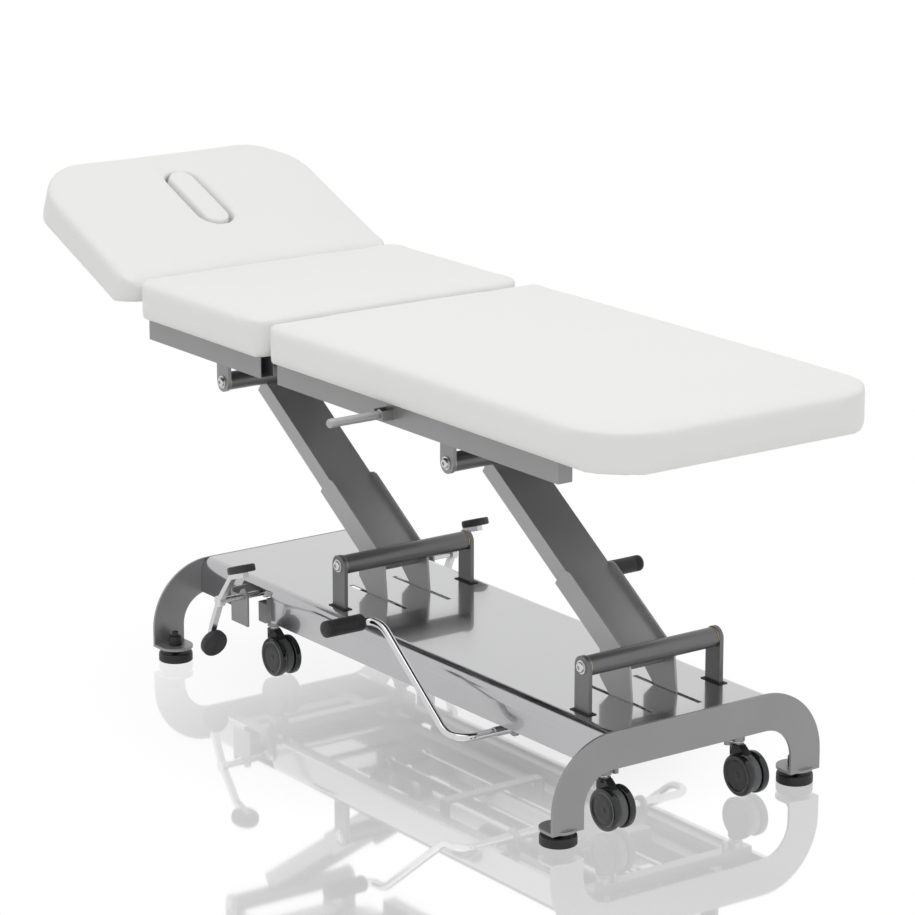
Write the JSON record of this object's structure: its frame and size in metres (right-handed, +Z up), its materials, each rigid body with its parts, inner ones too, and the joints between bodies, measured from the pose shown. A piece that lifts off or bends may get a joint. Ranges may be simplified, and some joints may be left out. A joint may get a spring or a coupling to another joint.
{
  "type": "hydraulic therapy table",
  "caption": "Height-adjustable three-section treatment table on a covered base with arched ends, levelling feet, pedal-lowered casters, a pump lever and two lift arms.",
  "frame": {"origin": "on the floor under the middle of the whole table as pictured, 155 mm from the base's middle towards the head end and 26.5 mm towards the release handle", "axes": "+X to the foot end of the table, +Y to the side away from the release handle, +Z up"},
  "size_m": [1.9468, 0.781, 0.9167],
  "materials": {
    "cover_paint": "gloss",
    "frame_paint": "satin",
    "arm_paint": "satin",
    "upholstery": "smooth vinyl over foam",
    "bright_steel": "bright zinc",
    "chrome": "polished",
    "black_rubber": "matte",
    "pad_rubber": "matte",
    "wheel_plastic": "gloss",
    "fork_plastic": "matte",
    "black_plastic": "matte",
    "bush_bronze": "sintered",
    "cast_metal": "painted"
  },
  "bodies": {
    "base": {"arch_plates": "frame_paint", "base_rails": "frame_paint", "base_cover": "cover_paint", "slot_edging": "black_rubber", "lower_brackets": "frame_paint", "lower_pivot_bolts": "bright_steel", "cylinder_barrel": "cast_metal", "pump_block": "cast_metal", "pump_bearings": "frame_paint", "pedal_brackets": "frame_paint", "lock_nuts": "black_plastic"},
    "leveller_foot_near": {"leveller_foot_near": "black_plastic"},
    "leveller_foot_far": {"leveller_foot_far": "black_plastic"},
    "leveller_head_near": {"leveller_head_near": "black_plastic"},
    "leveller_head_far": {"leveller_head_far": "black_plastic"},
    "caster_carriage": {"carriage_frame": "frame_paint"},
    "caster_fork_foot_near": {"caster_fork_foot_near": "fork_plastic"},
    "caster_wheels_foot_near": {"caster_wheels_foot_near": "wheel_plastic"},
    "caster_fork_foot_far": {"caster_fork_foot_far": "fork_plastic"},
    "caster_wheels_foot_far": {"caster_wheels_foot_far": "wheel_plastic"},
    "caster_fork_head_near": {"caster_fork_head_near": "fork_plastic"},
    "caster_wheels_head_near": {"caster_wheels_head_near": "wheel_plastic"},
    "caster_fork_head_far": {"caster_fork_head_far": "fork_plastic"},
    "caster_wheels_head_far": {"caster_wheels_head_far": "wheel_plastic"},
    "pedals": {"pedal_axle": "bright_steel", "pedal_levers": "bright_steel", "pedal_pads": "pad_rubber"},
    "pump_lever": {"pump_axle": "bright_steel", "pump_levers": "chrome", "pump_grips": "black_rubber"},
    "pump_plunger": {"pump_plunger": "bright_steel"},
    "foot_arm": {"foot_arm_box": "arm_paint", "foot_arm_cradle": "arm_paint", "foot_arm_tubes": "arm_paint", "foot_arm_bushes": "bush_bronze"},
    "head_arm": {"head_arm_box": "arm_paint", "head_arm_cradle": "arm_paint", "head_arm_tubes": "arm_paint", "head_arm_bushes": "bush_bronze"},
    "sync_bars": {"sync_bars": "bright_steel"},
    "lift_ram": {"lift_ram": "bright_steel"},
    "lift_frame": {"chassis_frame": "frame_paint", "upper_brackets": "frame_paint", "upper_pivot_bolts": "bright_steel", "mid_frame": "frame_paint", "mid_cushion": "upholstery", "hinge_straps": "bright_steel", "spring_barrels": "black_plastic", "rest_buffers": "black_rubber"},
    "leg_section": {"leg_frame": "frame_paint", "leg_cushion": "upholstery"},
    "leg_spring_rod": {"leg_spring_rod": "bright_steel"},
    "release_handle": {"release_handle": "black_plastic"},
    "head_section": {"head_frame": "frame_paint", "head_cushion": "upholstery"},
    "head_spring_rod": {"head_spring_rod": "bright_steel"},
    "face_plug": {"face_plug": "upholstery"}
  },
  "joints": [
    {"name": "leveller_foot_near_screw", "type": "slide", "parent": "base", "child": "leveller_foot_near", "axis": [0, 0, 1], "range_m": [-0.015, 0.004]},
    {"name": "leveller_foot_far_screw", "type": "slide", "parent": "base", "child": "leveller_foot_far", "axis": [0, 0, 1], "range_m": [-0.015, 0.004]},
    {"name": "leveller_head_near_screw", "type": "slide", "parent": "base", "child": "leveller_head_near", "axis": [0, 0, 1], "range_m": [-0.015, 0.004]},
    {"name": "leveller_head_far_screw", "type": "slide", "parent": "base", "child": "leveller_head_far", "axis": [0, 0, 1], "range_m": [-0.015, 0.004]},
    {"name": "carriage_lift", "type": "slide", "parent": "base", "child": "caster_carriage", "axis": [0, 0, 1], "range_m": [-0.0127, 0]},
    {"name": "caster_swivel_foot_near", "type": "hinge", "parent": "caster_carriage", "child": "caster_fork_foot_near", "pos_m": [0.75544, -0.1235, 0.0925], "axis": [0, 0, 1], "continuous": true},
    {"name": "caster_roll_foot_near", "type": "hinge", "parent": "caster_fork_foot_near", "child": "caster_wheels_foot_near", "pos_m": [0.78044, -0.1235, 0.0405], "axis": [0, 1, 0], "continuous": true},
    {"name": "caster_swivel_foot_far", "type": "hinge", "parent": "caster_carriage", "child": "caster_fork_foot_far", "pos_m": [0.75544, 0.1765, 0.0925], "axis": [0, 0, 1], "continuous": true},
    {"name": "caster_roll_foot_far", "type": "hinge", "parent": "caster_fork_foot_far", "child": "caster_wheels_foot_far", "pos_m": [0.78044, 0.1765, 0.0405], "axis": [0, 1, 0], "continuous": true},
    {"name": "caster_swivel_head_near", "type": "hinge", "parent": "caster_carriage", "child": "caster_fork_head_near", "pos_m": [-0.28756, -0.1235, 0.0925], "axis": [0, 0, 1], "continuous": true},
    {"name": "caster_roll_head_near", "type": "hinge", "parent": "caster_fork_head_near", "child": "caster_wheels_head_near", "pos_m": [-0.26256, -0.1235, 0.0405], "axis": [0, 1, 0], "continuous": true},
    {"name": "caster_swivel_head_far", "type": "hinge", "parent": "caster_carriage", "child": "caster_fork_head_far", "pos_m": [-0.28756, 0.1765, 0.0925], "axis": [0, 0, 1], "continuous": true},
    {"name": "caster_roll_head_far", "type": "hinge", "parent": "caster_fork_head_far", "child": "caster_wheels_head_far", "pos_m": [-0.26256, 0.1765, 0.0405], "axis": [0, 1, 0], "continuous": true},
    {"name": "pedal_turn", "type": "hinge", "parent": "base", "child": "pedals", "pos_m": [-0.28456, 0.0265, 0.168], "axis": [0, 1, 0], "range_deg": [0, 26]},
    {"name": "pump_lever_turn", "type": "hinge", "parent": "base", "child": "pump_lever", "pos_m": [0.48944, 0.0265, 0.104], "axis": [0, 1, 0], "range_deg": [-30, 8]},
    {"name": "plunger_slide", "type": "slide", "parent": "base", "child": "pump_plunger", "axis": [1, 0, 0], "range_m": [-0.0034, 0.0126]},
    {"name": "lift_arm_turn", "type": "hinge", "parent": "base", "child": "foot_arm", "pos_m": [0.69044, 0.0265, 0.2715], "axis": [0, 1, 0], "range_deg": [-33, 41]},
    {"name": "head_arm_turn", "type": "hinge", "parent": "base", "child": "head_arm", "pos_m": [-0.06056, 0.0265, 0.2715], "axis": [0, 1, 0], "range_deg": [-33, 41]},
    {"name": "lift_frame_turn", "type": "hinge", "parent": "foot_arm", "child": "lift_frame", "pos_m": [0.28198, 0.0265, 0.54649], "axis": [0, 1, 0], "range_deg": [-41, 33]},
    {"name": "sync_bar_turn", "type": "hinge", "parent": "foot_arm", "child": "sync_bars", "pos_m": [0.69914, 0.0265, 0.1468], "axis": [0, 1, 0], "range_deg": [-41, 33]},
    {"name": "ram_slide", "type": "slide", "parent": "base", "child": "lift_ram", "axis": [1, 0, 0], "range_m": [-0.0836, 0.0673]},
    {"name": "leg_section_turn", "type": "hinge", "parent": "lift_frame", "child": "leg_section", "pos_m": [-0.04456, 0.0265, 0.728], "axis": [0, -1, 0], "range_deg": [0, 65]},
    {"name": "leg_spring_slide", "type": "slide", "parent": "lift_frame", "child": "leg_spring_rod", "axis": [1, 0, 0], "range_m": [0, 0.1085]},
    {"name": "release_handle_turn", "type": "hinge", "parent": "leg_section", "child": "release_handle", "pos_m": [0.30544, -0.2755, 0.665], "axis": [-1, 0, 0], "range_deg": [0, 10], "stiffness_Nm_per_rad": 1.5, "springref_deg": -5.73},
    {"name": "head_section_turn", "type": "hinge", "parent": "lift_frame", "child": "head_section", "pos_m": [-0.57456, 0.0265, 0.728], "axis": [0, 1, 0], "range_deg": [-52.5, 17.5]},
    {"name": "head_spring_slide", "type": "slide", "parent": "lift_frame", "child": "head_spring_rod", "axis": [1, 0, 0], "range_m": [-0.0295, 0.0876]},
    {"name": "face_plug_lift", "type": "slide", "parent": "head_section", "child": "face_plug", "axis": [0.3827, 0, 0.9239], "range_m": [0, 0.12]}
  ],
  "couplings": [
    {"joint": "pedal_turn", "follows": "carriage_lift", "rad_per_m": -35.714},
    {"joint": "plunger_slide", "follows": "pump_lever_turn", "m_per_rad": -0.024},
    {"joint": "head_arm_turn", "follows": "lift_arm_turn", "ratio": 1},
    {"joint": "lift_frame_turn", "follows": "lift_arm_turn", "ratio": -1},
    {"joint": "sync_bar_turn", "follows": "lift_arm_turn", "ratio": -1},
    {"joint": "ram_slide", "follows": "lift_arm_turn", "m_per_rad": -0.1165},
    {"joint": "leg_spring_slide", "follows": "leg_section_turn", "m_per_rad": 0.0955},
    {"joint": "head_spring_slide", "follows": "head_section_turn", "m_per_rad": -0.0955}
  ]
}
